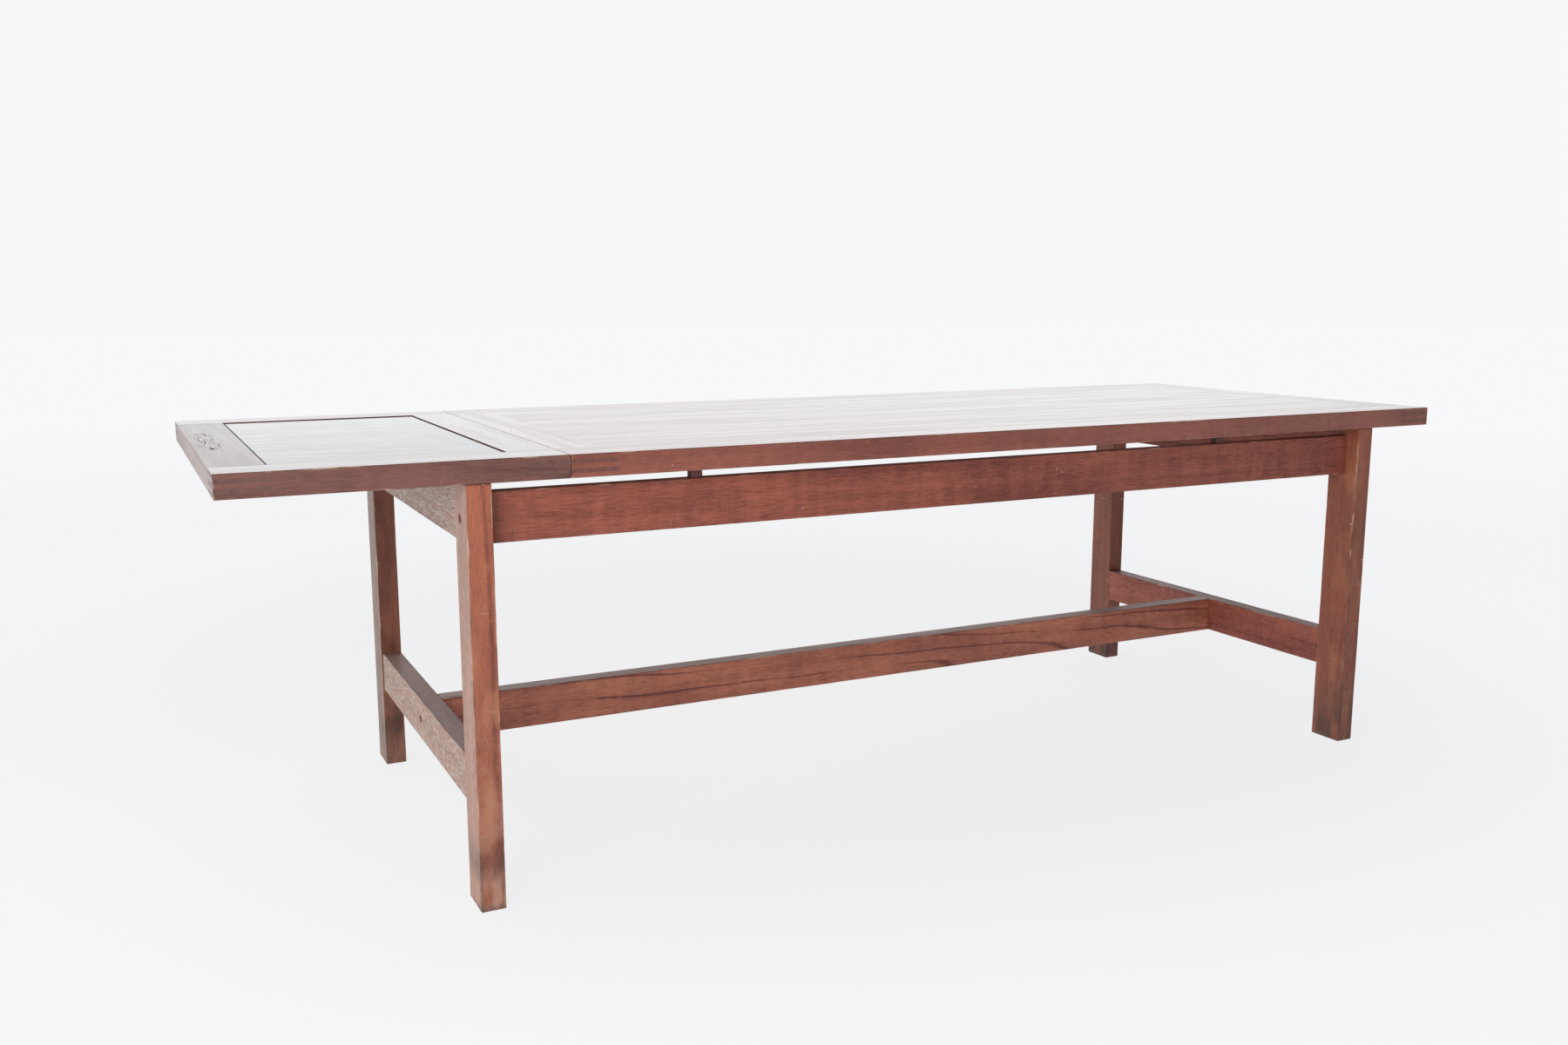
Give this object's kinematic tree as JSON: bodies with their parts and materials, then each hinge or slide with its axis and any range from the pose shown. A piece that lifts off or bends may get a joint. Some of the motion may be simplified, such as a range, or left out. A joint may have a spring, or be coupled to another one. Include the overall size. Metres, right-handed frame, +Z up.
{
  "type": "dining table",
  "caption": "Rectangular wooden dining table on four flat legs with a stretcher; the top slides and a leaf with a black inset extends one end.",
  "frame": {"origin": "on the floor, under the middle of the opened table's bounding box", "axes": "+X along the table away from the leaf, +Y across the table to the back, +Z up"},
  "size_m": [2.421, 0.862, 0.72],
  "materials": {
    "base_wood": "reddish-brown hardwood, worn satin oil finish",
    "top_wood": "reddish-brown hardwood, semi-gloss varnish",
    "bearer_wood": "plain sanded hardwood",
    "dowel_wood": "plain beech",
    "black_sheet": "glossy black laminate",
    "bolt_steel": "dull zinc-plated steel",
    "screw_brass": "dull brass"
  },
  "bodies": {
    "base": {"leg_front_left": "base_wood", "leg_back_left": "base_wood", "leg_front_right": "base_wood", "leg_back_right": "base_wood", "end_apron_left": "base_wood", "end_apron_right": "base_wood", "long_apron_front": "base_wood", "long_apron_back": "base_wood", "end_stretcher_left": "base_wood", "end_stretcher_right": "base_wood", "long_stretcher": "base_wood", "spacer_front_left": "base_wood", "spacer_back_left": "base_wood", "spacer_front_right": "base_wood", "spacer_back_right": "base_wood", "leg_bolts": "bolt_steel", "apron_nuts": "bolt_steel", "apron_dowels": "dowel_wood", "stretcher_bolts": "bolt_steel", "stretcher_nuts": "bolt_steel", "stretcher_dowels": "dowel_wood", "spacer_screws": "screw_brass"},
    "main_top": {"top_rail_front": "top_wood", "top_rail_back": "top_wood", "top_rail_seam": "top_wood", "top_rail_end": "top_wood", "top_field": "top_wood", "runner_front": "bearer_wood", "runner_back": "bearer_wood", "runner_screws": "screw_brass", "stop_closed_front": "bearer_wood", "stop_closed_back": "bearer_wood", "stop_open_front": "bearer_wood", "stop_open_back": "bearer_wood", "stop_screws": "screw_brass", "seam_pegs": "dowel_wood"},
    "leaf": {"leaf_rail_front": "top_wood", "leaf_rail_back": "top_wood", "leaf_rail_end": "top_wood", "leaf_rail_seam": "top_wood", "leaf_core": "bearer_wood", "leaf_insert": "black_sheet", "loper_front": "bearer_wood", "loper_back": "bearer_wood", "loper_screws": "screw_brass"}
  },
  "joints": [
    {"name": "top_slide", "type": "slide", "parent": "base", "child": "main_top", "axis": [1, 0, 0], "range_m": [-0.158, 0]},
    {"name": "leaf_draw", "type": "slide", "parent": "main_top", "child": "leaf", "axis": [-1, 0, 0], "range_m": [0, 0.57]}
  ]
}
